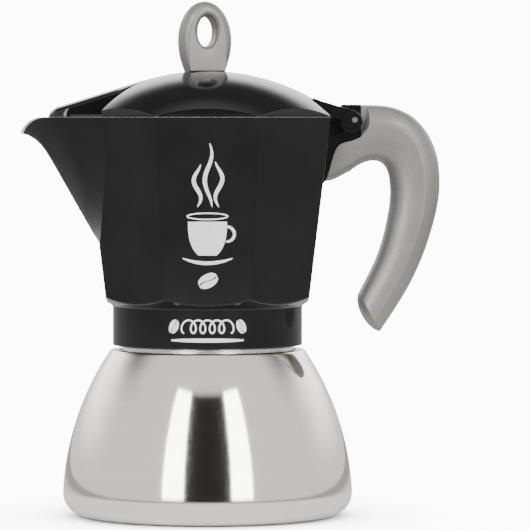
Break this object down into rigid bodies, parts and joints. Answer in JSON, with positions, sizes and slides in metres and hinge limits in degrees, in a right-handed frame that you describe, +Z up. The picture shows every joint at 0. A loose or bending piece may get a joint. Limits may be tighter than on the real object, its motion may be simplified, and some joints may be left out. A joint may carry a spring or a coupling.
{
  "type": "stovetop coffee maker",
  "caption": "Stovetop coffee maker with a bell boiler, screwed-on octagonal collector, hinged domed lid with ring knob, pouring spout and hooked side handle.",
  "frame": {"origin": "centre of the foot, on the boiler's axis, on the surface the pot stands on", "axes": "+Z up along the boiler's axis, -X towards the spout, +X towards the handle, +Y to the back where the safety valve is"},
  "size_m": [0.1523, 0.105, 0.186],
  "materials": {
    "polished_steel": "polished with a fine circular grain",
    "bare_aluminium": "machined, satin",
    "black_lacquer": "cast aluminium under gloss black lacquer",
    "grey_soft_touch": "satin warm grey, finely speckled",
    "brass": "turned",
    "spring_steel": "bright",
    "filter_sheet": "punched sheet, satin",
    "silicone": "matte, off white"
  },
  "bodies": {
    "boiler": {"boiler_shell": "polished_steel", "boiler_liner": "bare_aluminium", "valve_body": "brass", "valve_cap": "brass", "valve_washer": "silicone", "valve_seal": "silicone", "valve_nut": "brass", "valve_spring": "spring_steel"},
    "valve_plunger": {"valve_plunger": "brass"},
    "funnel": {"funnel": "bare_aluminium", "funnel_strainer": "filter_sheet"},
    "gasket": {"gasket": "silicone"},
    "filter_plate": {"filter_plate": "filter_sheet"},
    "collector": {"collector": "black_lacquer", "hinge_pin": "spring_steel", "handle": "grey_soft_touch", "handle_screw": "spring_steel"},
    "lid": {"lid": "black_lacquer", "knob": "grey_soft_touch", "knob_washer": "spring_steel", "knob_screw": "spring_steel"}
  },
  "joints": [
    {"name": "funnel_lift", "type": "slide", "parent": "boiler", "child": "funnel", "axis": [0, 0, 1], "range_m": [0, 0.075]},
    {"name": "collector_lift", "type": "slide", "parent": "funnel", "child": "gasket", "axis": [0, 0, 1], "range_m": [0, 0.06]},
    {"name": "thread_rise", "type": "slide", "parent": "gasket", "child": "filter_plate", "axis": [0, 0, 1], "range_m": [0, 0.009]},
    {"name": "thread_turn", "type": "hinge", "parent": "filter_plate", "child": "collector", "pos_m": [0, 0, 0.066], "axis": [0, 0, 1], "range_deg": [0, 1080]},
    {"name": "lid_hinge", "type": "hinge", "parent": "collector", "child": "lid", "pos_m": [0.0531, 0, 0.1432], "axis": [0, 1, 0], "range_deg": [0, 92]},
    {"name": "valve_lift", "type": "slide", "parent": "boiler", "child": "valve_plunger", "axis": [0, 0.9135, 0.4067], "range_m": [0, 0.0012], "stiffness_N_per_m": 600, "springref_m": -0.002, "deforming": ["valve_spring"]}
  ],
  "couplings": [
    {"joint": "thread_rise", "follows": "thread_turn", "m_per_rad": 0.00047746}
  ]
}
